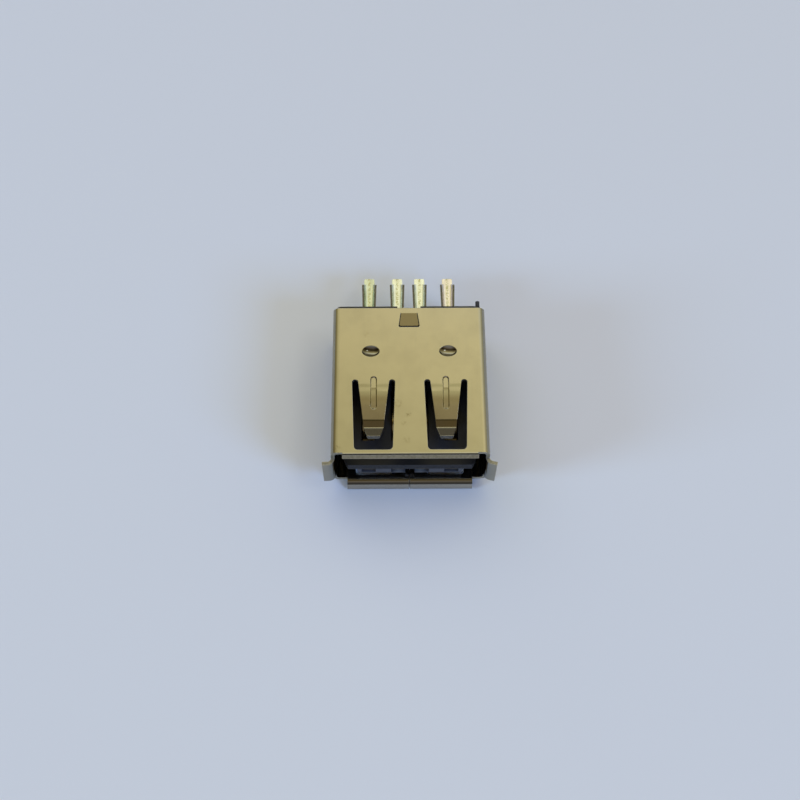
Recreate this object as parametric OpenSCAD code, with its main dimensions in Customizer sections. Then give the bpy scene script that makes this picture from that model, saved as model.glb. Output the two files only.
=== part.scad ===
// Four-contact socket for solder wires: a folded sheet shell, a moulded insulator with a tongue,
// and four stamped contacts that end in solder cups behind the insulator.
// X runs across the mouth, +Y into the socket, +Z up. The origin is the middle of the mouth.

/* [Shell tube] */
// Outside width of the folded tube
shell_w = 13.1; // [12.8:0.05:14]
// Outside height of the folded tube
shell_h = 5.72; // [5.6:0.02:6.4]
// Length of the tube from its front edge to its rear edge
shell_l = 13.6; // [13:0.1:16]
// Thickness of the sheet
sheet = 0.3; // [0.2:0.02:0.36]
// Outside radius of the four long bends
corner_r = 0.6; // [0.45:0.05:0.9]
// Width of the butt seam along the bottom wall
seam_gap = 0.06; // [0.03:0.01:0.12]
// Distance from the rear edge to the middle of the seam's dovetail
dovetail_inset = 3.4; // [2.5:0.1:5]
// Length of the dovetail's neck along the seam
dovetail_l = 1.6; // [1:0.1:2.4]
// Reach of the dovetail across the seam
dovetail_reach = 1; // [0.6:0.1:1.6]
// How much wider the dovetail's head is at each end than its neck
dovetail_flare = 0.25; // [0.1:0.05:0.4]

/* [Mouth] */
// Radius of the outer surface where the lips and tabs bend away from the tube
flare_r = 0.3; // [0.2:0.05:0.5]
// Width of the upper lip
top_lip_w = 11.1; // [9:0.1:11.6]
// Width of the lower lip
bottom_lip_w = 10.7; // [9:0.1:11.6]
// Angle that the upper lip turns outward
top_lip_turn = 66; // [30:1:80]
// Angle that the lower lip turns outward
bottom_lip_turn = 60; // [30:1:80]
// Straight part of the upper lip beyond its bend
top_lip_flat = 0.4; // [0.2:0.05:0.9]
// Straight part of the lower lip beyond its bend
bottom_lip_flat = 0.48; // [0.2:0.02:0.9]
// Height of the side tabs
tab_h = 3.5; // [2:0.1:4.2]
// Angle that the left tab turns outward
left_tab_turn = 88; // [60:1:89]
// Angle that the right tab turns outward
right_tab_turn = 76; // [60:1:89]
// Straight part of the side tabs beyond their bend
tab_flat = 0.45; // [0.2:0.05:0.9]

/* [Spring fingers] */
// Distance of each finger's middle from the middle of the socket
finger_x = 3.03; // [2.8:0.01:3.2]
// Distance from the tube's front edge to the cut-out
window_front = 0.28; // [0.2:0.02:0.6]
// Distance from the tube's front edge to the middle of the slots' round ends
window_end = 6.42; // [6.2:0.02:7]
// Width of the cut-out at its front
window_front_w = 3.2; // [2.9:0.05:3.5]
// Width of the cut-out at its rear, over both slots
window_rear_w = 3.62; // [3.4:0.02:3.8]
// Radius of the cut-out's front corners
window_corner_r = 0.32; // [0.1:0.02:0.6]
// Width of the slot on each side of the finger's root
slot_w = 0.52; // [0.3:0.02:0.7]
// Flat stretch of the finger between the slots' ends and its bend
finger_flat = 0.13; // [0.05:0.01:0.4]
// Outer radius of the bend at the finger's root
finger_root_r = 3; // [1:0.1:4]
// Slope of the upper fingers into the socket
top_slope = 13; // [8:0.5:15]
// Slope of the lower fingers, which pass under the tongue
bottom_slope = 6; // [3:0.5:7]
// Length of the sloping stretch
finger_run = 2.4; // [1.8:0.02:2.8]
// Extra turn before the contact crease
finger_dip = 13; // [5:1:18]
// Outer radius of that extra turn
finger_dip_r = 0.6; // [0.45:0.05:1]
// Straight stretch between the extra turn and the crease
finger_dip_run = 0.5; // [0.2:0.05:0.7]
// Hollow radius of the contact crease
crease_r = 0.1; // [0.08:0.02:0.6]
// Angle at which the tip rises in front of the crease
tip_rise = 24; // [15:1:45]
// Length of the rising tip
tip_run = 1; // [0.5:0.05:1.1]
// Radius of the finger's two corners at its tip
tip_corner_r = 0.25; // [0.1:0.01:0.35]
// Width of the finger at its crease
crease_w = 1.68; // [1.2:0.02:2]
// Width of the finger at its tip
finger_tip_w = 1.16; // [0.8:0.02:1.5]
// Width of the stiffening groove over the finger's root
groove_w = 0.56; // [0.4:0.02:0.8]
// Depth of the stiffening groove
groove_depth = 0.09; // [0.05:0.01:0.14]
// Width of the groove's slanted walls, seen from above
groove_side = 0.09; // [0.05:0.01:0.14]
// Length from the finger's bend back to the middle of the groove's rear end
groove_behind = 0.42; // [0.3:0.01:0.9]
// Length from the finger's bend on to the middle of the groove's front end
groove_ahead = 1.26; // [0.7:0.01:1.6]

/* [Dimples and rear lance] */
// Distance of each dimple's middle from the middle of the socket
dimple_x = 3.28; // [2.4:0.02:4.2]
// Distance from the rear edge to the dimples' middle
dimple_inset = 4.22; // [3.9:0.02:4.8]
// Length of a dimple across the socket
dimple_l = 1.5; // [1.1:0.05:1.8]
// Width of a dimple along the socket
dimple_w = 1.05; // [0.9:0.05:1.1]
// Depth of a dimple
dimple_depth = 0.3; // [0.2:0.02:0.4]
// Distance from the rear edge to the lance's crease
lance_inset = 0.52; // [0.3:0.02:0.9]
// Length of the lance
lance_l = 1.36; // [1:0.02:1.9]
// Width of the lance at its crease
lance_rear_w = 1.46; // [1:0.02:2]
// Width of the lance at its free end
lance_front_w = 1.8; // [1:0.02:2.4]
// Angle that the lance is pressed inward
lance_turn = 11; // [5:1:15]
// Radius of the corners at the lance's free end
lance_corner_r = 0.14; // [0.06:0.01:0.3]
// Gap at both sides of the lance
shear_gap = 0.06; // [0.02:0.01:0.1]
// Gap in front of the lance's free end
lance_end_gap = 0.2; // [0.06:0.01:0.3]

/* [Insulator] */
// Clearance between the insulator and the shell's walls
shell_fit = 0.05; // [0.02:0.01:0.1]
// Clearance round what is pressed into the insulator's pockets
pocket_fit = 0.12; // [0.05:0.01:0.2]
// Distance from the tube's front edge to the tongue's front
tongue_recess = 0.1; // [0:0.05:0.4]
// Length of the tongue in front of the rear block
tongue_l = 8.88; // [8.6:0.02:9]
// Width of the tongue
tongue_w = 11.1; // [10.6:0.05:11.4]
// Thickness of the tongue
tongue_t = 1.84; // [1.76:0.02:1.9]
// Clear height between the tongue's contact face and the shell
plug_gap = 2.56; // [2.5:0.02:2.7]
// Thickness of the tongue's full-width upper part
tongue_plate_t = 0.85; // [0.7:0.05:1.2]
// Width of the tongue's narrower lower part
tongue_keel_w = 9; // [8.6:0.05:9.8]
// How much each side of the tongue leans in over each part's height
tongue_draft = 0.15; // [0.05:0.05:0.3]
// Cut of the tongue's front corners across the socket
nose_cut_x = 0.35; // [0.1:0.05:0.6]
// Cut of the tongue's front corners along the socket
nose_cut_y = 0.45; // [0.1:0.05:0.8]
// Slant of the tongue's lower front edge
nose_slant = 0.2; // [0.1:0.02:0.3]
// Length of the bar that covers the contacts' tips
nose_l = 2.25; // [1.8:0.05:2.4]
// Thickness of the bar that covers the contacts' tips
nose_t = 0.85; // [0.6:0.05:0.9]
// Width of the notch in the middle of the tongue's front
notch_w = 0.8; // [0.4:0.05:0.8]
// Depth of that notch into the tongue
notch_l = 0.5; // [0.2:0.05:1]
// How far the insulator stands out behind the shell
rear_proud = 0.35; // [0.1:0.01:0.6]
// Width of the relief in the middle of the insulator's rear top edge
relief_w = 2; // [0.6:0.05:2.4]
// Depth of that relief below the insulator's top
relief_depth = 0.6; // [0.3:0.05:1]
// Diameter of the moulding gate's stub at its broken end
gate_d = 0.36; // [0.24:0.02:0.5]
// Diameter of the stub's neck
gate_neck_d = 0.2; // [0.1:0.02:0.22]
// Length of the stub's neck
gate_neck_l = 0.4; // [0.1:0.05:0.6]
// Length of the stub with its neck
gate_l = 0.86; // [0.7:0.02:1.2]

/* [Contacts] */
// Distance between the two inner contacts
inner_pitch = 2; // [1.95:0.01:2.05]
// Distance between the two outer contacts
outer_pitch = 7; // [6.9:0.02:7.1]
// Width of a contact's blade
contact_w = 1; // [0.8:0.02:1.1]
// Thickness of a contact's strip
contact_t = 0.17; // [0.15:0.01:0.25]
// Clearance beside a contact in the tongue's channel
channel_fit = 0.1; // [0.05:0.01:0.15]
// Clearance beside and above a contact in the rear block
passage_fit = 0.02; // [0.01:0.01:0.05]
// Depth of the blade's face below the tongue's contact face
contact_sink = 0.15; // [0.1:0.01:0.25]
// Distance from the rear block to where the spring part starts
spring_root = 1.9; // [1.5:0.05:2.2]
// Hollow radius where the spring part starts to rise
beam_r = 2; // [1:0.1:3]
// Slope of the spring part
beam_rise = 9; // [6:0.5:11]
// Length of the spring part
beam_run = 2.6; // [2.3:0.05:2.8]
// Outer radius of the contact bump
bump_r = 0.6; // [0.4:0.05:0.8]
// Angle at which the contact dives behind the bump
dive_turn = 50; // [40:1:55]
// Length of the dive
dive_run = 1.12; // [1.05:0.01:1.15]
// Hollow radius at the foot of the dive
dive_r = 0.3; // [0.2:0.02:0.4]
// Turn of the tip behind the tongue's front windows
toe_turn = 70; // [50:1:80]
// Outer radius of the tip's turn
toe_r = 0.35; // [0.3:0.01:0.4]
// Straight end of the tip
toe_end = 0.3; // [0.2:0.02:0.34]
// Distance from the tongue's front to the tip
toe_recess = 0.2; // [0.05:0.01:0.3]
// Room left under the tip
toe_fit = 0.06; // [0.04:0.01:0.1]

/* [Solder cups] */
// Outside width of a solder cup
cup_w = 1.1; // [1.04:0.02:1.3]
// Height of a solder cup's walls from its underside
cup_h = 0.6; // [0.5:0.02:0.8]
// Outside radius of a solder cup's round bottom
cup_r = 0.46; // [0.3:0.02:0.5]
// Angle that each side of a solder cup opens towards its rear
cup_flare = 1.7; // [0.5:0.1:2.5]
// Distance from the insulator to the cup
cup_start = 0.08; // [0.02:0.01:0.3]
// Length of the cup along its bottom
cup_l = 3.74; // [2.5:0.02:5]
// Length of the slanted cut at the rear of the cup's walls
cup_bevel = 0.4; // [0.1:0.05:0.8]
// Length of the flat lug beyond the cup
lug_l = 0.58; // [0.4:0.02:1.5]
// Width of the flat lug
lug_w = 0.92; // [0.6:0.02:1]
// Radius of the lug's corners
lug_r = 0.14; // [0.1:0.02:0.28]

/* [Hidden] */
$fn = 64;
metal = "#b8ad85";
plastic = "#1b1b1d";
gold = "#d8d3a2";
// Length by which joined solids run into each other
lap = 0.2;
// Angle by which a turn runs into the straight stretches beside it
turn_lap = 0.01;

// Inside of the tube
inner_w = shell_w - 2 * sheet;
inner_h = shell_h - 2 * sheet;
roof_z = inner_h / 2;
floor_z = -inner_h / 2;

// Fingers
finger_root_w = window_rear_w - 2 * slot_w;
hinge_y = window_end - finger_flat;
strip_start = window_end + lap;
groove_foot = groove_w / 2 - groove_side;
bead_foot = groove_foot + sheet * tan(atan(groove_depth / groove_side) / 2);
// Length by which the plan of a finger runs past its slanted end
tip_spare = 0.03;

// Places along the socket where a finger ends its slope, has its crease and ends.
function dip_y(slope) = hinge_y - finger_root_r * sin(slope) - finger_run * cos(slope)
    - finger_dip_r * (sin(slope + finger_dip) - sin(slope));
function crease_y(slope) = dip_y(slope) - finger_dip_run * cos(slope + finger_dip)
    - crease_r * sin(slope + finger_dip);
function finger_end_y(slope) = crease_y(slope) - (crease_r + sheet) * sin(tip_rise)
    - tip_run * cos(tip_rise);

// Dimples, pressed by a barrel-shaped punch
dimple_y = shell_l - dimple_inset;
punch_r = (pow(dimple_w / 2, 2) + pow(dimple_depth, 2)) / (2 * dimple_depth);
punch_crown_r = (pow(dimple_l / 2, 2) + pow(dimple_depth, 2)) / (2 * dimple_depth);

// Rear lance
lance_y = shell_l - lance_inset;

// Insulator
tongue_y = tongue_recess;
block_y = tongue_y + tongue_l;
block_w = inner_w - 2 * shell_fit;
block_top = roof_z - shell_fit;
rear_y = shell_l + rear_proud;
tongue_top = roof_z - plug_gap;

// Contacts
contact_x = [-outer_pitch / 2, -inner_pitch / 2, inner_pitch / 2, outer_pitch / 2];
blade_top = tongue_top - contact_sink;
blade_under = blade_top - contact_t;
spring_y = block_y - spring_root;
cup_y = rear_y + cup_start;
dive_y = spring_y - beam_r * sin(beam_rise) - beam_run * cos(beam_rise)
    - bump_r * (sin(beam_rise) + sin(dive_turn)) - dive_run * cos(dive_turn) - dive_r * sin(dive_turn);
toe_run = dive_y - (tongue_y + toe_recess) - toe_r * sin(toe_turn) - toe_end * cos(toe_turn);
foot_z = blade_top + beam_r * (1 - cos(beam_rise)) + beam_run * sin(beam_rise)
    + bump_r * (cos(dive_turn) - cos(beam_rise)) - dive_run * sin(dive_turn)
    - dive_r * (1 - cos(dive_turn));
toe_z = foot_z - toe_r * (1 - cos(toe_turn)) - toe_end * sin(toe_turn) - contact_t * cos(toe_turn);
channel_z = toe_z - toe_fit;

// Rows are [straight run, turn, radius of the outer surface in the turn]; a turn above zero is outward.
function finger_path(slope) = [
    [strip_start - hinge_y, -slope, finger_root_r],
    [finger_run, -finger_dip, finger_dip_r],
    [finger_dip_run, slope + finger_dip + tip_rise, crease_r],
    [tip_run, 0, 0]
];
contact_path = [
    [cup_y + contact_t - spring_y, beam_rise, beam_r],
    [beam_run, -beam_rise - dive_turn, bump_r],
    [dive_run, dive_turn, dive_r],
    [toe_run, -toe_turn, toe_r],
    [toe_end, 0, 0]
];

// Profile of a bent strip that starts at the origin and runs along +X.
// near and far are depths below the outer surface.
module strip(path, near, far, i = 0) {
    if (i < len(path)) {
        run = path[i][0];
        turn = path[i][1];
        radius = path[i][2];
        translate([0, -far]) square([run, far - near]);
        translate([run, 0]) {
            if (turn > 0) translate([0, radius]) sector(radius + near, radius + far, -90, turn);
            if (turn < 0) translate([0, -radius]) sector(radius - far, radius - near, 90, turn);
            past_turn(turn, radius) strip(path, near, far, i + 1);
        }
    }
}

// Moves its children to the end of a turn.
module past_turn(turn, radius) {
    translate([radius * sin(abs(turn)), sign(turn) * radius * (1 - cos(turn))]) rotate(turn) children();
}

// Part of a ring, from the start angle through the sweep.
module sector(r_in, r_out, start, sweep) {
    reach = 2 * r_out;
    from = start - sign(sweep) * turn_lap;
    to = start + sweep + sign(sweep) * turn_lap;
    middle = (from + to) / 2;
    intersection() {
        difference() {
            circle(r_out);
            circle(r_in);
        }
        polygon([[0, 0], for (a = [from, middle, to]) reach * [cos(a), sin(a)]]);
    }
}

module rounded_rect(w, h, r) {
    square([w - 2 * r, h], center = true);
    square([w, h - 2 * r], center = true);
    for (x = [-1, 1], y = [-1, 1]) translate([x * (w / 2 - r), y * (h / 2 - r)]) circle(r);
}

// Extrudes a section drawn in X and Z from one depth to another.
module along_y(from, to) {
    translate([0, to, 0]) rotate([90, 0, 0]) linear_extrude(to - from) children();
}

// Extrudes a profile across the socket: its +X turns towards the mouth and its +Y turns up.
module across(w) {
    rotate([90, 0, -90]) linear_extrude(w, center = true) children();
}

// Extrudes a plan right through the socket's height.
module through_z() {
    translate([0, 0, -shell_h]) linear_extrude(2 * shell_h) children();
}

module both_sides() {
    for (side = [-1, 1]) turned_to(side) children();
}

module turned_to(side) {
    if (side < 0) mirror([1, 0, 0]) children();
    else children();
}

module tube() {
    along_y(0, shell_l) difference() {
        rounded_rect(shell_w, shell_h, corner_r);
        rounded_rect(inner_w, inner_h, corner_r - sheet);
    }
}

// Straight front end of a plan, with two round corners.
module round_front(w, front, r) {
    translate([r - w / 2, front]) square([w - 2 * r, 2 * r]);
    for (side = [-1, 1]) translate([side * (w / 2 - r), front + r]) circle(r);
}

// Plan of one finger's cut-out, with the two slots' round ends.
module window() {
    corner_y = window_front + window_corner_r;
    corner_half = window_front_w / 2;
    rear_half = window_rear_w / 2;
    polygon([
        [-corner_half, corner_y], [corner_half, corner_y],
        [rear_half, window_end], [-rear_half, window_end]
    ]);
    round_front(window_front_w, window_front, window_corner_r);
    for (side = [-1, 1]) translate([side * (rear_half - slot_w / 2), window_end]) circle(slot_w / 2);
}

// Plan of one finger, from its root in the wall to its tip.
module finger_plan(slope) {
    half_root = finger_root_w / 2;
    half_tip = finger_tip_w / 2;
    front = finger_end_y(slope) - tip_spare;
    corner_y = front + tip_corner_r;
    bend_y = crease_y(slope);
    polygon([
        [-half_root, window_end + lap], [half_root, window_end + lap], [half_root, window_end],
        [crease_w / 2, bend_y], [half_tip, corner_y], [-half_tip, corner_y], [-crease_w / 2, bend_y],
        [-half_root, window_end]
    ]);
    round_front(finger_tip_w, front, tip_corner_r);
}

// Section of the stiffening groove, with its slanted walls up to the sheet's surface.
module groove_section() {
    half = groove_w / 2;
    polygon([
        [-groove_foot, -groove_depth], [groove_foot, -groove_depth], [half, 0],
        [half, lap], [-half, lap], [-half, 0]
    ]);
}

// Section of the bead that the groove leaves under the sheet.
module bead_section() {
    half = bead_foot + groove_side;
    polygon([
        [-bead_foot, -sheet - groove_depth], [bead_foot, -sheet - groove_depth], [half, -sheet],
        [half, -sheet / 2], [-half, -sheet / 2], [-half, -sheet]
    ]);
}

// Runs a section straight along +Y to a round end.
module leg(l) {
    along_y(0, l) children();
    translate([0, l, 0]) rotate_extrude() intersection() {
        children();
        translate([0, -groove_w]) square(2 * groove_w);
    }
}

// Two legs that meet over the bend at one finger's root.
module along_root(slope) {
    corner = finger_root_r * tan(slope / 2);
    translate([finger_x, hinge_y - corner, shell_h / 2]) {
        leg(corner + groove_behind) children();
        rotate([slope, 0, 0]) mirror([0, 1, 0]) leg(corner + groove_ahead) children();
    }
}

module finger(slope) {
    intersection() {
        translate([finger_x, strip_start, shell_h / 2]) across(finger_root_w + lap)
            strip(finger_path(slope), 0, sheet);
        translate([finger_x, 0, 0]) through_z() finger_plan(slope);
    }
    along_root(slope) bead_section();
}

module groove(slope) {
    along_root(slope) groove_section();
}

// Barrel that lies across the upper wall and reaches one dimple's depth into it.
module punch(grow) {
    r = punch_r + grow;
    crown_r = punch_crown_r + grow;
    translate([dimple_x, dimple_y, shell_h / 2 - dimple_depth + punch_r]) rotate([0, 90, 0])
        rotate_extrude() intersection() {
            translate([r - crown_r, 0]) circle(crown_r);
            translate([0, -crown_r]) square(2 * crown_r);
        }
}

module dimple_back() {
    intersection() {
        punch(sheet);
        translate([0, 0, -sheet / 2 - shell_h / 2]) along_y(0, shell_l)
            translate([0, shell_h / 2]) square([shell_w, shell_h], center = true);
    }
}

// Plan of the rear lance in front of its crease, narrowed and shortened by gaps.
module lance_plan(side_gap, end_gap) {
    half_rear = lance_rear_w / 2 - side_gap;
    half_front = lance_front_w / 2 - side_gap;
    front = end_gap - lance_l;
    corner_y = front + lance_corner_r;
    polygon([[-half_rear, 0], [half_rear, 0], [half_front, corner_y], [-half_front, corner_y]]);
    round_front(2 * half_front, front, lance_corner_r);
}

module lance() {
    translate([0, lance_y, shell_h / 2]) rotate([lance_turn, 0, 0])
        translate([0, 0, -sheet]) linear_extrude(sheet) lance_plan(shear_gap, lance_end_gap);
}

module lance_hole() {
    translate([0, lance_y, roof_z - lap]) linear_extrude(sheet + 2 * lap) lance_plan(0, 0);
}

// A lip or tab that turns outward from the upper wall's front edge.
module flare(w, turn, flat) {
    translate([0, lap, 0]) across(w) strip([[lap, turn, flare_r], [flat, 0, 0]], 0, sheet);
}

module mouth() {
    translate([0, 0, shell_h / 2]) flare(top_lip_w, top_lip_turn, top_lip_flat);
    mirror([0, 0, 1]) translate([0, 0, shell_h / 2]) flare(bottom_lip_w, bottom_lip_turn, bottom_lip_flat);
    rotate([0, -90, 0]) translate([0, 0, shell_w / 2]) flare(tab_h, left_tab_turn, tab_flat);
    rotate([0, 90, 0]) translate([0, 0, shell_w / 2]) flare(tab_h, right_tab_turn, tab_flat);
}

// Plan of the dovetail that locks the seam, grown by a margin.
module dovetail_plan(margin) {
    neck = dovetail_l / 2 + margin;
    head = neck + dovetail_flare;
    reach = dovetail_reach + margin;
    translate([0, shell_l - dovetail_inset])
        polygon([[0, -neck], [-reach, -head], [-reach, head], [0, neck]]);
}

module seam() {
    front = flare_r + sheet + bottom_lip_flat;
    translate([0, 0, -shell_h]) linear_extrude(shell_h + floor_z + lap) {
        difference() {
            union() {
                translate([-seam_gap, -front - lap]) square([seam_gap, shell_l + front + 2 * lap]);
                dovetail_plan(seam_gap);
            }
            dovetail_plan(0);
        }
    }
}

module shell() {
    color(metal) difference() {
        union() {
            difference() {
                tube();
                both_sides() translate([finger_x, 0, 0]) through_z() window();
                lance_hole();
            }
            mouth();
            both_sides() finger(top_slope);
            mirror([0, 0, 1]) both_sides() finger(bottom_slope);
            both_sides() dimple_back();
            lance();
        }
        both_sides() groove(top_slope);
        mirror([0, 0, 1]) both_sides() groove(bottom_slope);
        both_sides() punch(0);
        seam();
    }
}

// Section of the tongue: a full-width plate over a narrower keel.
module tongue_section() {
    half = tongue_w / 2;
    keel = tongue_keel_w / 2;
    translate([0, tongue_top]) polygon([
        [-half, 0], [half, 0], [half - tongue_draft, -tongue_plate_t], [keel, -tongue_plate_t],
        [keel - tongue_draft, -tongue_t], [tongue_draft - keel, -tongue_t], [-keel, -tongue_plate_t],
        [tongue_draft - half, -tongue_plate_t]
    ]);
}

module tongue_plan() {
    half = tongue_w / 2;
    cut = half - nose_cut_x;
    cut_y = tongue_y + nose_cut_y;
    polygon([
        [-cut, tongue_y], [cut, tongue_y], [half, cut_y], [half, block_y + lap],
        [-half, block_y + lap], [-half, cut_y]
    ]);
}

// Side view of the tongue, with the slant under its nose.
module tongue_profile() {
    under = tongue_top - tongue_t;
    polygon([
        [-tongue_y + lap, shell_h], [-tongue_y + lap, under + nose_slant + lap],
        [-tongue_y - nose_slant - lap, under - lap], [-block_y - 2 * lap, under - lap],
        [-block_y - 2 * lap, shell_h]
    ]);
}

module tongue() {
    intersection() {
        along_y(tongue_y - lap, block_y + lap) tongue_section();
        through_z() tongue_plan();
        across(2 * tongue_w) tongue_profile();
    }
}

module block() {
    translate([0, 0, (floor_z + block_top) / 2]) along_y(block_y, rear_y)
        rounded_rect(block_w, block_top - floor_z, corner_r - sheet);
}

// Stub of the moulding gate at the insulator's upper rear corner.
module gate() {
    translate([block_w / 2 - gate_d / 2, rear_y, block_top - corner_r - gate_d / 2]) rotate([-90, 0, 0]) {
        translate([0, 0, -lap]) cylinder(d = gate_neck_d, h = gate_neck_l + 2 * lap);
        translate([0, 0, gate_neck_l]) cylinder(d = gate_d, h = gate_l - gate_neck_l);
    }
}

// Room for one contact: a passage in the block, a channel in the tongue and a window under its nose.
module contact_room(x) {
    wide = contact_w + 2 * channel_fit;
    slim = contact_w + 2 * passage_fit;
    translate([x - slim / 2, spring_y, blade_under])
        cube([slim, rear_y - spring_y + lap, contact_t + passage_fit]);
    translate([x - slim / 2, spring_y, blade_under])
        cube([slim, block_y - spring_y, tongue_top - blade_under + lap]);
    translate([x - wide / 2, tongue_y + nose_l, channel_z])
        cube([wide, spring_y - tongue_y - nose_l, tongue_top - channel_z + lap]);
    translate([x - wide / 2, tongue_y - lap, channel_z])
        cube([wide, nose_l + 2 * lap, tongue_top - nose_t - channel_z]);
}

// Pockets in the block's top for the dimples and the lance.
module dimple_pocket() {
    half = dimple_l / 2 + sheet + pocket_fit;
    rear = dimple_y + dimple_w / 2 + sheet + pocket_fit;
    floor = roof_z - dimple_depth - pocket_fit;
    translate([dimple_x - half, block_y - lap, floor]) cube([2 * half, rear - block_y + lap, shell_h]);
}

module lance_pocket() {
    half = lance_front_w / 2 + pocket_fit;
    drop = lance_l * sin(lance_turn) + pocket_fit;
    front = lance_y - lance_l - pocket_fit;
    translate([-half, front, roof_z - drop]) cube([2 * half, lance_y + pocket_fit - front, shell_h]);
}

module housing() {
    color(plastic) difference() {
        union() {
            block();
            tongue();
            gate();
        }
        for (x = contact_x) contact_room(x);
        both_sides() dimple_pocket();
        lance_pocket();
        translate([-notch_w / 2, tongue_y - lap, tongue_top - tongue_t - lap])
            cube([notch_w, notch_l + lap, tongue_t - tongue_plate_t + lap]);
        translate([-relief_w / 2, shell_l, block_top - relief_depth])
            cube([relief_w, rear_proud + lap, shell_h]);
    }
}

// Right half of the cup's section.
module cup_section() {
    intersection() {
        translate([0, cup_h]) difference() {
            rounded_rect(cup_w, 2 * cup_h, cup_r);
            rounded_rect(cup_w - 2 * contact_t, 2 * (cup_h - contact_t), cup_r - contact_t);
        }
        square([cup_w, cup_h]);
    }
}

// Plan of the cup's flat bottom between its two opened sides.
module cup_floor_plan() {
    front_half = (cup_w / 2 - cup_r) / 2;
    rear_half = front_half + cup_l * tan(cup_flare);
    polygon([[-front_half, 0], [front_half, 0], [rear_half, cup_l], [-rear_half, cup_l]]);
}

module cup() {
    translate([0, cup_y, 0]) difference() {
        union() {
            both_sides() rotate([0, 0, -cup_flare]) along_y(0, cup_l) cup_section();
            linear_extrude(contact_t) cup_floor_plan();
        }
        translate([0, cup_l, contact_t]) across(2 * cup_w)
            polygon([[-lap, 0], [0, 0], [cup_bevel, cup_h], [-lap, cup_h]]);
    }
}

// Plan of the flat lug at the contact's very end.
module lug_plan() {
    translate([-lug_w / 2, -lap]) square([lug_w, lug_l + lap - lug_r]);
    mirror([0, 1]) round_front(lug_w, -lug_l, lug_r);
}

module contact(x) {
    color(gold) translate([x, 0, 0]) {
        translate([0, cup_y + contact_t, blade_top]) across(contact_w) strip(contact_path, 0, contact_t);
        translate([0, 0, blade_under]) cup();
        translate([0, cup_y + cup_l, blade_under]) linear_extrude(contact_t) lug_plan();
    }
}

module contact_1() {
    contact(contact_x[0]);
}

module contact_2() {
    contact(contact_x[1]);
}

module contact_3() {
    contact(contact_x[2]);
}

module contact_4() {
    contact(contact_x[3]);
}

shell();
housing();
contact_1();
contact_2();
contact_3();
contact_4();
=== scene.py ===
# Socket with four solder cups: finishes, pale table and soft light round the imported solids
import math

import bpy
from mathutils import Matrix, Vector
from mathutils.bvhtree import BVHTree


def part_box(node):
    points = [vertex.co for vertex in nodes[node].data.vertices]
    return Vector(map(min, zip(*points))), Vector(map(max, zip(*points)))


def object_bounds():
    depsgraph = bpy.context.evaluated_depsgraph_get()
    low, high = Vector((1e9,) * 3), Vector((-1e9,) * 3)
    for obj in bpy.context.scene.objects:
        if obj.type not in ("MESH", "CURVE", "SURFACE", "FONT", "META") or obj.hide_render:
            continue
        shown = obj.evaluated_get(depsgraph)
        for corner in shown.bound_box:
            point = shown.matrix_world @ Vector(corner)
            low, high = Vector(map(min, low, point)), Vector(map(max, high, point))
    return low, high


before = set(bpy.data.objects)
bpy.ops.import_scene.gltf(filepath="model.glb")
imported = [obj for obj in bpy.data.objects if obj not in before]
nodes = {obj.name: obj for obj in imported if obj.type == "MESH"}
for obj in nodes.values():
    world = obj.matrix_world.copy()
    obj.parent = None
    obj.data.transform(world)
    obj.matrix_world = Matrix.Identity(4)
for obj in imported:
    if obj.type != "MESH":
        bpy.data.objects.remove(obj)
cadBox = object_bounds()
mm = 0.001
contactNames = sorted(name for name in nodes if name.startswith("contact_"))
shellLow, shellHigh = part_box("shell")
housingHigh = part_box("housing")[1]
print("frame:", len(nodes), "solids, size in mm", [round(v / mm, 2) for v in cadBox[1] - cadBox[0]])


# small helpers for shader trees

noiseSpan = (0.3, 0.7)  # most of a noise texture lies between these
noiseRoughness = 0.55
spotCore = 0.2  # share of a spot's radius that has its full strength
bumpDepth = 0.01 * mm


def newMaterial(name):
    material = bpy.data.materials.new(name)
    material.use_nodes = True
    tree = material.node_tree
    return material, tree, tree.nodes["Principled BSDF"]


def addNode(tree, kind, settings=None, **inputs):
    node = tree.nodes.new("ShaderNode" + kind)
    for key, value in (settings or {}).items():
        setattr(node, key, value)
    for key, value in inputs.items():
        setInput(tree, node.inputs[key.replace("_", " ")], value)
    return node


def setInput(tree, socket, value):
    if isinstance(value, bpy.types.NodeSocket):
        tree.links.new(value, socket)
    else:
        socket.default_value = value


def noise(tree, vector, scale, detail):
    node = addNode(tree, "TexNoise", Vector=vector, Scale=scale, Detail=detail, Roughness=noiseRoughness)
    return node.outputs["Fac"]


# goes smoothly from start to end while the value runs through the span
def spread(tree, value, span, start=0.0, end=1.0):
    node = addNode(tree, "MapRange", {"interpolation_type": "SMOOTHSTEP"}, Value=value,
                   From_Min=span[0], From_Max=span[1], To_Min=start, To_Max=end)
    return node.outputs["Result"]


def compute(tree, operation, first, second=0.0):
    node = addNode(tree, "Math", {"operation": operation})
    setInput(tree, node.inputs[0], first)
    setInput(tree, node.inputs[1], second)
    return node.outputs["Value"]


def multiply(tree, product, *others):
    for other in others:
        product = compute(tree, "MULTIPLY", product, other)
    return product


# how far a value is from another one, either way
def apart(tree, value, other=0.0):
    return compute(tree, "ABSOLUTE", compute(tree, "SUBTRACT", value, other))


def vectorMath(tree, operation, *vectors):
    node = addNode(tree, "VectorMath", {"operation": operation})
    for socket, vector in zip(node.inputs, vectors):
        setInput(tree, socket, vector)
    return node.outputs


def blendColour(tree, factor, first, second, mode="MIX"):
    node = addNode(tree, "Mix", {"data_type": "RGBA", "blend_type": mode})
    setInput(tree, node.inputs["Factor"], factor)
    for socket, value in ((node.inputs[6], first), (node.inputs[7], second)):
        setInput(tree, socket, value if isinstance(value, bpy.types.NodeSocket) else (*value, 1.0))
    return node.outputs[2]


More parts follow.
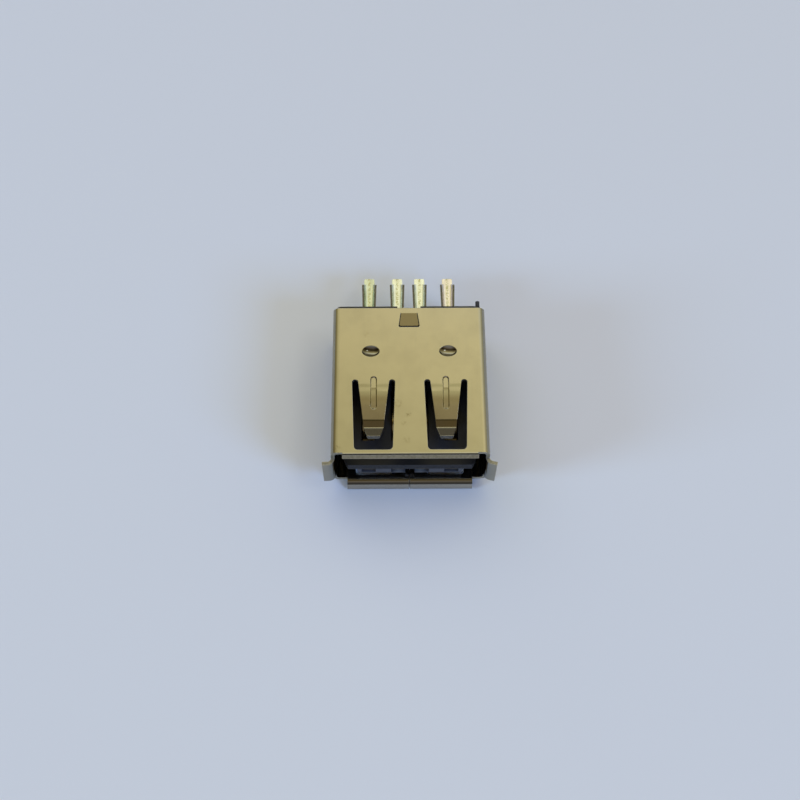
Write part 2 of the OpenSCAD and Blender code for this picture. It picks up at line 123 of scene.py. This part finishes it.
def place(tree, scale=(1.0, 1.0, 1.0)):
    coords = addNode(tree, "TexCoord")
    mapping = addNode(tree, "Mapping", Vector=coords.outputs["Object"], Scale=scale)
    return mapping.outputs["Vector"]


def axes(tree, vector):
    return addNode(tree, "SeparateXYZ", Vector=vector).outputs


def placeInMm(tree):
    return axes(tree, place(tree, (1 / mm, 1 / mm, 1 / mm)))


def normalAxes(tree):
    return axes(tree, addNode(tree, "NewGeometry").outputs["Normal"])


# fades from the strength at a spot to nothing at its radius, both in mm
def nearSpot(tree, where, spot, radius, strength):
    away = vectorMath(tree, "DISTANCE", where, Vector(spot) * mm)["Value"]
    return spread(tree, away, (spotCore * radius * mm, radius * mm), strength, 0.0)


def setRoughness(tree, shader, texture, look):
    rough = spread(tree, texture, noiseSpan, look["roughLow"], look["roughHigh"])
    setInput(tree, shader.inputs["Roughness"], rough)


def setBump(tree, shader, texture, strength, depth=bumpDepth, normal=None):
    bump = addNode(tree, "Bump", Height=texture, Strength=strength, Distance=depth)
    if normal is not None:
        setInput(tree, bump.inputs["Normal"], normal)
    setInput(tree, shader.inputs["Normal"], bump.outputs["Normal"])


# rounded edges, and edges painted pale, both for wear and as a painted highlight

roundedAndPaleEdges = {
    "samples": 6,
    "turn": (0.80, 0.98),  # cosine between the rounded normal and the face's own
    "share": 0.85,
}


def roundEdges(tree, radius):
    return addNode(tree, "Bevel", {"samples": roundedAndPaleEdges["samples"]}, Radius=radius).outputs["Normal"]


# an edge is where the rounded normal leaves the face's own
def paleEdgeWearAndHighlight(tree, rounded):
    flat = addNode(tree, "NewGeometry").outputs["True Normal"]
    turn = vectorMath(tree, "DOT_PRODUCT", rounded, flat)["Value"]
    return spread(tree, turn, roundedAndPaleEdges["turn"], roundedAndPaleEdges["share"], 0.0)


# painted shade: side walls, their long bends and the tabs are tinted a little warmer and darker than the
# roof

sideShadeTint = {
    "tint": (0.93, 0.90, 0.77),
    "sideways": (0.2, 0.6),  # x of the normal
    "tabX": (6.4, 6.6),  # in mm
    "tabY": (-0.1, 0.1),
    "tabShare": 0.8,
}


def onSides(tree, look):
    across, depth, _ = placeInMm(tree)
    onWall = spread(tree, apart(tree, normalAxes(tree)["X"]), look["sideways"])
    onTab = multiply(tree, spread(tree, apart(tree, across), look["tabX"], 0.0, look["tabShare"]),
                     spread(tree, depth, look["tabY"], 1.0, 0.0))
    return compute(tree, "MAXIMUM", onWall, onTab)


# painted shade along the front rim of both dimples and behind their middle, more of it in the left one

dimples = {
    "paintedShade": (0.045, 0.040, 0.020),
    "middle": (3.28, 9.38),  # of the right one in mm, the left one mirrors it
    "half": (0.75, 0.525),
    # spans in shares of the half size, outwards and from the front to the rear
    "rimInside": (0.76, 0.88),
    "rimOutside": (0.98, 1.05),
    "rimFrontToRear": (-0.3, 0.4),
    "rimShare": 0.9,
    "rimRearShare": 0.3,
    "hollowOutside": (0.85, 1.0),
    "hollowFrontToRear": (-0.3, 0.2),
    "leftShare": 0.60,
    "rightShare": 0.30,
    "leftToRight": (-1.0, 1.0),  # in mm
    "upperWall": (0.0, 1.0),
}


def dimpleShade(tree, look):
    across, depth, height = placeInMm(tree)
    middleX, middleY = look["middle"]
    halfX, halfY = look["half"]
    u = compute(tree, "DIVIDE", compute(tree, "SUBTRACT", apart(tree, across), middleX), halfX)
    v = compute(tree, "DIVIDE", compute(tree, "SUBTRACT", depth, middleY), halfY)
    far = compute(tree, "SQRT", compute(tree, "ADD", multiply(tree, u, u), multiply(tree, v, v)))
    rim = multiply(tree, spread(tree, far, look["rimInside"], 0.0, look["rimShare"]),
                   spread(tree, far, look["rimOutside"], 1.0, 0.0),
                   spread(tree, v, look["rimFrontToRear"], 1.0, look["rimRearShare"]))
    hollow = multiply(tree, spread(tree, far, look["hollowOutside"], 1.0, 0.0),
                      spread(tree, v, look["hollowFrontToRear"]),
                      spread(tree, across, look["leftToRight"], look["leftShare"], look["rightShare"]))
    both = compute(tree, "MAXIMUM", rim, hollow)
    return multiply(tree, both, spread(tree, height, look["upperWall"]))


# painted shade in the upper bend of both lips, on faces turned upwards, with a sharp border on the lower
# one

lips = {
    "bendShade": (0.050, 0.045, 0.036),
    # y and z in mm
    "upperFront": (-0.36, -0.26),
    "upperRear": (-0.14, -0.04),
    "upperHeight": (2.4, 2.5),
    "upperShare": 0.85,
    "upperTipShare": 0.2,
    "lowerFront": (-0.54, -0.50),
    "lowerRear": (-0.42, -0.28),
    "lowerHeight": (-2.5, -2.4),
    "lowerShare": 0.95,
    "upward": (0.1, 0.3),  # z of the normal
}


def lipBendShade(tree, look):
    _, depth, height = placeInMm(tree)
    upper = multiply(tree, spread(tree, depth, look["upperRear"], look["upperShare"], 0.0),
                     spread(tree, depth, look["upperFront"], look["upperTipShare"], 1.0),
                     spread(tree, height, look["upperHeight"]))
    lower = multiply(tree, spread(tree, depth, look["lowerRear"], look["lowerShare"], 0.0),
                     spread(tree, depth, look["lowerFront"]),
                     spread(tree, height, look["lowerHeight"], 1.0, 0.0))
    facing = spread(tree, normalAxes(tree)["Z"], look["upward"])
    return multiply(tree, compute(tree, "ADD", upper, lower), facing)


# the shading normals of the spring fingers lean back as if they hung in a slight bow, so their roots take
# more of the light from behind

fingers = {
    # x and y in mm
    "middleX": 3.03,
    "sideEdge": (1.2, 1.4),  # from the middle
    "rootY": (6.5, 6.9),
    "slope": (-0.13, -0.03),  # y of the normal
    "bow": 0.02,
    "bowY": (2.8, 6.2),
    "rootBow": 0.16,
    "rootBowFront": (4.3, 5.8),
    "rootBowRear": (5.6, 6.3),
}


def bowFingers(tree, normal, look):
    across, depth, _ = placeInMm(tree)
    aside = apart(tree, apart(tree, across), look["middleX"])
    onFinger = multiply(tree, spread(tree, aside, look["sideEdge"], 1.0, 0.0),
                        spread(tree, depth, look["rootY"], 1.0, 0.0),
                        spread(tree, axes(tree, normal)["Y"], look["slope"], 1.0, 0.0))
    root = multiply(tree, spread(tree, depth, look["rootBowFront"], 0.0, look["rootBow"]),
                    spread(tree, depth, look["rootBowRear"], 1.0, 0.0))
    lean = compute(tree, "ADD", root, spread(tree, depth, look["bowY"], 0.0, look["bow"]))
    back = addNode(tree, "CombineXYZ", Y=multiply(tree, lean, onFinger)).outputs["Vector"]
    leaning = vectorMath(tree, "ADD", normal, back)["Vector"]
    return vectorMath(tree, "NORMALIZE", leaning)["Vector"]


# plated sheet of the shell

platedSheet = {
    "plate": (0.380, 0.367, 0.326),
    "tarnish": (0.315, 0.297, 0.253),
    "cloudTarnish": 0.35,
    "leftShade": 0.35,  # painted shade, darkest on the left, fades out towards the right side
    "cloudScale": 420.0,
    "cloudSpan": (0.35, 0.75),
    "grainScale": 9000.0,
    "grainStretch": 0.06,
    "bump": 0.02,
    "roughLow": 0.08,
    "roughHigh": 0.17,
    "cloudInRoughness": 0.6,  # the grain gives the rest
    "edge": (0.780, 0.760, 0.690),
    "edgeRound": 0.06 * mm,
    "thickness": 0.3 * mm,
    "mark": (0.215, 0.190, 0.140),
    "markScale": 6000.0,
    "markSpan": (0.42, 0.62),
    "roof": 2.86,
    # x, y, radius in mm and strength of the marks on the roof
    "scuffs": [
        (-0.13, 3.44, 0.34, 0.9),
        (-0.95, 4.44, 0.55, 0.5),
        (-0.51, 2.65, 0.35, 0.4),
        (-0.31, 1.12, 0.50, 0.4),
        (-3.70, 11.04, 0.45, 0.3),
        (-6.00, 0.43, 0.40, 0.6),
    ],
}


def makePlatedSheet(look):
    material, tree, shader = newMaterial("plated_sheet_finish")
    where = place(tree)
    along = place(tree, (1.0, look["grainStretch"], 1.0))
    cloud = noise(tree, where, look["cloudScale"], detail=4.0)
    grain = noise(tree, along, look["grainScale"], detail=2.0)
    width = (shellLow.x / mm, shellHigh.x / mm)
    # random tarnish from the cloud, plus painted shade growing towards the left side
    shade = compute(tree, "ADD", spread(tree, cloud, look["cloudSpan"], 0.0, look["cloudTarnish"]),
                    spread(tree, placeInMm(tree)["X"], width, look["leftShade"], 0.0))
    base = blendColour(tree, shade, look["plate"], look["tarnish"])
    # painted shade: faces turned sideways and the tabs get the warmer, darker tint
    base = blendColour(tree, onSides(tree, sideShadeTint), base, sideShadeTint["tint"], "MULTIPLY")
    blot = spread(tree, noise(tree, where, look["markScale"], detail=3.0), look["markSpan"])
    for x, y, radius, strength in look["scuffs"]:
        mark = nearSpot(tree, where, (x, y, look["roof"]), radius, strength)
        base = blendColour(tree, multiply(tree, mark, blot), base, look["mark"])
    rounded = roundEdges(tree, look["edgeRound"])
    # edges painted pale, for wear and as a painted highlight
    base = blendColour(tree, paleEdgeWearAndHighlight(tree, rounded), base, look["edge"])
    # painted shade in the dimples
    base = blendColour(tree, dimpleShade(tree, dimples), base, dimples["paintedShade"])
    # painted shade in the bends of the lips
    base = blendColour(tree, lipBendShade(tree, lips), base, lips["bendShade"])
    setInput(tree, shader.inputs["Base Color"], base)
    cloudShare = look["cloudInRoughness"]
    mixed = compute(tree, "ADD", multiply(tree, cloud, cloudShare), multiply(tree, grain, 1 - cloudShare))
    setRoughness(tree, shader, mixed, look)
    setBump(tree, shader, grain, look["bump"], normal=bowFingers(tree, rounded, fingers))
    shader.inputs["Metallic"].default_value = 1.0
    return material


# sheared edges of the sheet; the copy for the tube's cut-outs is darker than at its ends, as painted
# shade

shearedSteel = {
    "steel": (0.350, 0.325, 0.235),
    "burr": (0.240, 0.222, 0.158),
    "edge": (0.720, 0.700, 0.640),
    "edgeRound": 0.06 * mm,
    "metallic": 0.5,
    "roughLow": 0.36,
    "roughHigh": 0.55,
    "streakScale": 5200.0,
    "streakSpan": (0.35, 0.7),
    "bump": 0.15,
}

# a darker copy as painted shade, for the cut faces inside the tube's cut-outs
shadedInnerSteel = dict(
    shearedSteel,
    steel=(0.140, 0.134, 0.115),
    burr=(0.090, 0.086, 0.074),
    edge=(0.420, 0.400, 0.340),
)


def makeShearedEdge(name, look):
    material, tree, shader = newMaterial(name)
    streak = noise(tree, place(tree), look["streakScale"], detail=3.0)
    base = blendColour(tree, spread(tree, streak, look["streakSpan"]), look["steel"], look["burr"])
    # edges painted pale, for wear and as a painted highlight
    worn = paleEdgeWearAndHighlight(tree, roundEdges(tree, look["edgeRound"]))
    setInput(tree, shader.inputs["Base Color"], blendColour(tree, worn, base, look["edge"]))
    setRoughness(tree, shader, streak, look)
    setBump(tree, shader, streak, look["bump"])
    shader.inputs["Metallic"].default_value = look["metallic"]
    return material


# moulded insulator

blackInsulator = {
    "plastic": (0.028, 0.030, 0.037),
    "bloom": (0.036, 0.038, 0.047),
    "cloudScale": 700.0,
    "cloudSpan": (0.4, 0.7),
    "grainScale": 14000.0,
    "bump": 0.12,
    "roughLow": 0.42,
    "roughHigh": 0.60,
    "specular": 0.4,
    # painted shade darkens the tongue's nose above, and painted light makes the keel below paler, y and z
    # in mm
    "noseY": (0.6, 0.9),
    "keelZ": (-0.92, -0.76),
    "noseShade": (0.006, 0.007, 0.009),
    "deepShare": 0.9,
    "keel": (0.090, 0.093, 0.102),
    "keelShare": 0.7,
    # x, y, z and radius in mm of pale spots at the nose, painted light
    "litSpots": [(-1.0, 0.3, -1.3, 0.6), (0.85, 0.3, -1.3, 0.6)],
    "pale": (0.200, 0.200, 0.190),
    "paleShare": 0.9,
}


def makeBlackInsulator(look):
    material, tree, shader = newMaterial("black_insulator_finish")
    where = place(tree)
    cloud = noise(tree, where, look["cloudScale"], detail=3.0)
    grain = noise(tree, where, look["grainScale"], detail=2.0)
    base = blendColour(tree, spread(tree, cloud, look["cloudSpan"]), look["plastic"], look["bloom"])
    _, depth, height = placeInMm(tree)
    nose = spread(tree, depth, look["noseY"], 1.0, 0.0)
    above = multiply(tree, nose, spread(tree, height, look["keelZ"], 0.0, look["deepShare"]))
    below = multiply(tree, nose, spread(tree, height, look["keelZ"], look["keelShare"], 0.0))
    # painted shade on the nose above, painted light on the keel below
    base = blendColour(tree, above, base, look["noseShade"])
    base = blendColour(tree, below, base, look["keel"])
    # painted light: pale spots at the nose
    for x, y, z, radius in look["litSpots"]:
        litSpot = nearSpot(tree, where, (x, y, z), radius, look["paleShare"])
        base = blendColour(tree, litSpot, base, look["pale"])
    setInput(tree, shader.inputs["Base Color"], base)
    setRoughness(tree, shader, grain, look)
    setBump(tree, shader, grain, look["bump"])
    shader.inputs["Specular IOR Level"].default_value = look["specular"]
    return material


# stamped contacts, gold on the blades and tinned at the cups

goldFlash = {
    # the gold and its worn tone are darkened as painted shade, for blades that lie inside the tube
    "gold": (0.240, 0.190, 0.092),
    "worn": (0.190, 0.150, 0.074),
    "tin": (0.745, 0.820, 0.845),
    "dullTin": (0.655, 0.705, 0.690),
    "tinnedFrom": (-2.0, -1.0),  # mm from the insulator's rear
    "cloudScale": 900.0,
    "cloudSpan": (0.35, 0.7),
    "grainScale": 8000.0,
    "grainStretch": 0.08,
    "bump": 0.03,
    "roughLow": 0.18,
    "roughHigh": 0.32,
    "edgeRound": 0.03 * mm,
    "thickness": 0.17 * mm,
    # tints of the outer cups, and the places of the cups from the middle in mm
    "leftCup": (0.810, 0.840, 0.770),
    "rightCup": (1.000, 0.890, 0.950),
    "outerCupFrom": (2.6, 2.8),
    "innerCupX": 1.0,
    "outerCupX": 3.5,
    "pitted": (0.400, 0.410, 0.270),
    "pitScale": 5500.0,
    "pitSpan": (0.42, 0.60),
    "pitLeast": 0.15,
    "pitStripe": (0.04, 0.18),  # mm each side of a cup's middle
}

bareStrip = {
    "steel": (0.150, 0.142, 0.112),
    "burr": (0.090, 0.086, 0.068),
    "edge": (0.240, 0.230, 0.190),
    "edgeRound": 0.03 * mm,
    "metallic": 0.7,
    "roughLow": 0.34,
    "roughHigh": 0.50,
    "streakScale": 7000.0,
    "streakSpan": (0.35, 0.7),
    "bump": 0.15,
}


# pits along the middle of each cup, both cups of a side being as far from the line halfway between them
def cupPits(tree, where, across, look):
    halfway = (look["outerCupX"] + look["innerCupX"]) / 2
    fromHalfway = apart(tree, apart(tree, across), halfway)
    offMiddle = apart(tree, fromHalfway, look["outerCupX"] - halfway)
    speckle = noise(tree, where, look["pitScale"], detail=2.0)
    return multiply(tree, spread(tree, offMiddle, look["pitStripe"], 1.0, 0.0),
                    spread(tree, speckle, look["pitSpan"], look["pitLeast"], 1.0))


def makeGoldFlash(look):
    material, tree, shader = newMaterial("gold_flash_finish")
    where = place(tree)
    along = place(tree, (1.0, look["grainStretch"], 1.0))
    cloud = noise(tree, where, look["cloudScale"], detail=3.0)
    grain = noise(tree, along, look["grainScale"], detail=2.0)
    shade = spread(tree, cloud, look["cloudSpan"])
    # gold darkened as painted shade
    flash = blendColour(tree, shade, look["gold"], look["worn"])
    tinned = blendColour(tree, shade, look["tin"], look["dullTin"])
    across, depth, _ = placeInMm(tree)
    onRight = spread(tree, across, look["outerCupFrom"])
    onLeft = spread(tree, multiply(tree, across, -1.0), look["outerCupFrom"])
    tinned = blendColour(tree, onLeft, tinned, look["leftCup"], "MULTIPLY")
    tinned = blendColour(tree, onRight, tinned, look["rightCup"], "MULTIPLY")
    tinned = blendColour(tree, cupPits(tree, where, across, look), tinned, look["pitted"])
    behind = spread(tree, depth, [housingHigh.y / mm + v for v in look["tinnedFrom"]])
    setInput(tree, shader.inputs["Base Color"], blendColour(tree, behind, flash, tinned))
    setRoughness(tree, shader, grain, look)
    setBump(tree, shader, grain, look["bump"], normal=roundEdges(tree, look["edgeRound"]))
    shader.inputs["Metallic"].default_value = 1.0
    return material


# finishes on the pieces

cutFaces = {
    "rayStart": 0.001 * mm,
    "thickShare": 1.7,
    "tubeEnds": 1.0 * mm,
    "slot": 1,  # places in the lists of finishes below
    "innerSlot": 2,
}


def dress(name, materials):
    piece = nodes[name]
    piece.data.materials.clear()
    for material in materials:
        piece.data.materials.append(material)
    return piece


# a face that has more metal behind it than the sheet is thick was cut by the shears
def markCutFaces(piece, thickness, look):
    mesh = piece.data
    solid = BVHTree.FromPolygons([v.co for v in mesh.vertices], [p.vertices for p in mesh.polygons])
    front, rear = look["tubeEnds"], shellHigh.y - look["tubeEnds"]
    for face in mesh.polygons:
        inward = -face.normal
        depth = solid.ray_cast(face.center + inward * look["rayStart"], inward)[3]
        if depth is None or depth > look["thickShare"] * thickness:
            inTube = piece == nodes["shell"] and front < face.center.y < rear
            face.material_index = look["innerSlot"] if inTube else look["slot"]


shellFinish = [
    makePlatedSheet(platedSheet),
    makeShearedEdge("sheared_edge", shearedSteel),
    makeShearedEdge("shaded_inner_sheared_edge", shadedInnerSteel),
]
shell = dress("shell", shellFinish)
markCutFaces(shell, platedSheet["thickness"], cutFaces)
dress("housing", [makeBlackInsulator(blackInsulator)])
contactFinish = [makeGoldFlash(goldFlash), makeShearedEdge("cut_strip", bareStrip)]
for name in contactNames:
    contact = dress(name, contactFinish)
    markCutFaces(contact, goldFlash["thickness"], cutFaces)
print("finishes:", len(bpy.data.materials))


# table top, which meets the lower lip and the rear bottom edge

table = {
    "size": 0.4,
    "colour": (0.80, 0.80, 0.80),
    "roughness": 0.75,
    "specular": 0.05,
    "fibreScale": 900.0,
    "bump": 0.05,
    "bumpDepth": 0.1 * mm,
    "rearStrip": 0.1 * mm,
}


def makeTable(look):
    material, tree, shader = newMaterial("pale_table")
    fibre = noise(tree, place(tree), look["fibreScale"], detail=4.0)
    setBump(tree, shader, fibre, look["bump"], depth=look["bumpDepth"])
    shader.inputs["Base Color"].default_value = (*look["colour"], 1.0)
    shader.inputs["Roughness"].default_value = look["roughness"]
    shader.inputs["Specular IOR Level"].default_value = look["specular"]
    half = look["size"] / 2
    mesh = bpy.data.meshes.new("table_top")
    corners = [(-half, -half, 0), (half, -half, 0), (half, half, 0), (-half, half, 0)]
    mesh.from_pydata(corners, [], [(0, 1, 2, 3)])
    mesh.materials.append(material)
    top = bpy.data.objects.new("table_top", mesh)
    bpy.context.scene.collection.objects.link(top)
    points = [vertex.co for vertex in shell.data.vertices]
    lip = min(points, key=lambda point: point.z)
    rear = min((p for p in points if p.y > shellHigh.y - look["rearStrip"]), key=lambda point: point.z)
    tilt = math.atan2(rear.z - lip.z, rear.y - lip.y)
    top.matrix_world = Matrix.Translation((0, lip.y, lip.z)) @ Matrix.Rotation(tilt, 4, "X")


makeTable(table)


# lights

# name, direction, distance and size in m, colour, watts, and whether the metal mirrors it
softboxes = [
    ("right_front", (10.0, -7.0, 6.5), 0.6, 0.24, (0.25, 0.46, 1.0), 1.92, False),
    ("left_front", (-12.0, -3.6, 3.9), 0.6, 0.18, (0.36, 0.60, 1.0), 1.92, False),
    ("upper_left", (-5.0, 4.0, 7.0), 0.35, 0.25, (0.15, 0.32, 1.0), 0.17, False),
    ("right_glint", (5.0, -0.8, 8.5), 0.6, 0.14, (0.85, 0.92, 1.0), 0.17, True),
]
middle = (cadBox[0] + cadBox[1]) / 2


def softbox(name, direction, distance, size, colour, watts, mirrored):
    light = bpy.data.lights.new(name, "AREA")
    light.shape = "DISK"
    light.size = size
    light.color = colour
    light.energy = watts
    lamp = bpy.data.objects.new(name, light)
    lamp.visible_glossy = mirrored
    bpy.context.scene.collection.objects.link(lamp)
    towards = Vector(direction).normalized()
    lamp.location = middle + towards * distance
    lamp.rotation_euler = towards.to_track_quat("Z", "Y").to_euler()


for settings in softboxes:
    softbox(*settings)

room = {
    "glowToward": (0.2, 1.0, 0.0),
    # tones from the front of the room to the side that glows
    "steps": [
        (0.00, (0.50, 0.48, 0.46)),
        (0.11, (0.43, 0.40, 0.37)),
        (0.20, (0.26, 0.22, 0.17)),
        (0.28, (0.18, 0.13, 0.05)),
        (0.42, (0.06, 0.05, 0.02)),
        (0.49, (0.53, 0.43, 0.22)),
        (0.52, (0.63, 0.52, 0.25)),
        (0.57, (0.59, 0.48, 0.22)),
        (0.60, (0.64, 0.53, 0.25)),
        (0.68, (0.95, 0.86, 0.44)),
        (0.74, (1.36, 1.20, 0.66)),
        (0.80, (1.20, 1.18, 0.91)),
        (0.87, (1.08, 1.07, 0.82)),
        (0.93, (0.40, 0.39, 0.29)),
        (0.96, (0.17, 0.15, 0.10)),
        (1.00, (0.20, 0.19, 0.16)),
    ],
    # x and z of the direction, from the middle of the room
    "sideShade": 0.5,
    "sideFrom": (0.4, 0.85),
    "shadeColour": (0.0, 0.0, 0.0),
    "horizon": (0.50, 0.55, 0.64),
    "horizonTop": (0.11, 0.23),
    "strength": 1.0,
}


def makeRoom(look):
    world = bpy.data.worlds.new("room")
    bpy.context.scene.world = world
    world.use_nodes = True
    tree = world.node_tree
    direction = addNode(tree, "TexCoord").outputs["Generated"]
    glowToward = Vector(look["glowToward"]).normalized()
    facing = vectorMath(tree, "DOT_PRODUCT", direction, glowToward)["Value"]
    # the ramp runs from 0 to 1, the cosine from -1 to 1
    ramp = addNode(tree, "ValToRGB", Fac=compute(tree, "ADD", multiply(tree, facing, 0.5), 0.5))
    stops = ramp.color_ramp.elements
    while len(stops) < len(look["steps"]):
        stops.new(0.5)
    for stop, (position, colour) in zip(stops, look["steps"]):
        stop.position = position
        stop.color = (*colour, 1.0)
    sideways, _, upward = axes(tree, direction)
    shade = spread(tree, apart(tree, sideways), look["sideFrom"], 0.0, look["sideShade"])
    glow = blendColour(tree, shade, ramp.outputs["Color"], look["shadeColour"])
    low = spread(tree, upward, look["horizonTop"], 1.0, 0.0)
    glow = blendColour(tree, low, glow, look["horizon"])
    background = tree.nodes["Background"]
    tree.links.new(glow, background.inputs["Color"])
    background.inputs["Strength"].default_value = look["strength"]


makeRoom(room)
print("lights:", len(softboxes), "and the room")


# camera

shot = {
    "location": (-1.301 * mm, -38.592 * mm, 92.908 * mm),
    "turn": (-0.63, 25.71, 0.32),  # yaw, pitch and roll in degrees
    "lens": 54.0,
    "sensor": 36.0,
    "clipStart": 1.0 * mm,
    "clipEnd": 10.0,
}


def makeCamera(look):
    data = bpy.data.cameras.new("camera")
    data.lens = look["lens"]
    data.sensor_width = look["sensor"]
    data.clip_start = look["clipStart"]
    data.clip_end = look["clipEnd"]
    camera = bpy.data.objects.new("camera", data)
    bpy.context.scene.collection.objects.link(camera)
    yaw, pitch, roll = (math.radians(v) for v in look["turn"])
    turn = Matrix.Rotation(yaw, 4, "Z") @ Matrix.Rotation(pitch, 4, "X") @ Matrix.Rotation(roll, 4, "Z")
    camera.matrix_world = Matrix.Translation(look["location"]) @ turn
    bpy.context.scene.camera = camera


makeCamera(shot)
bpy.context.scene.view_settings.view_transform = "Standard"
print("camera:", shot["lens"], "mm")
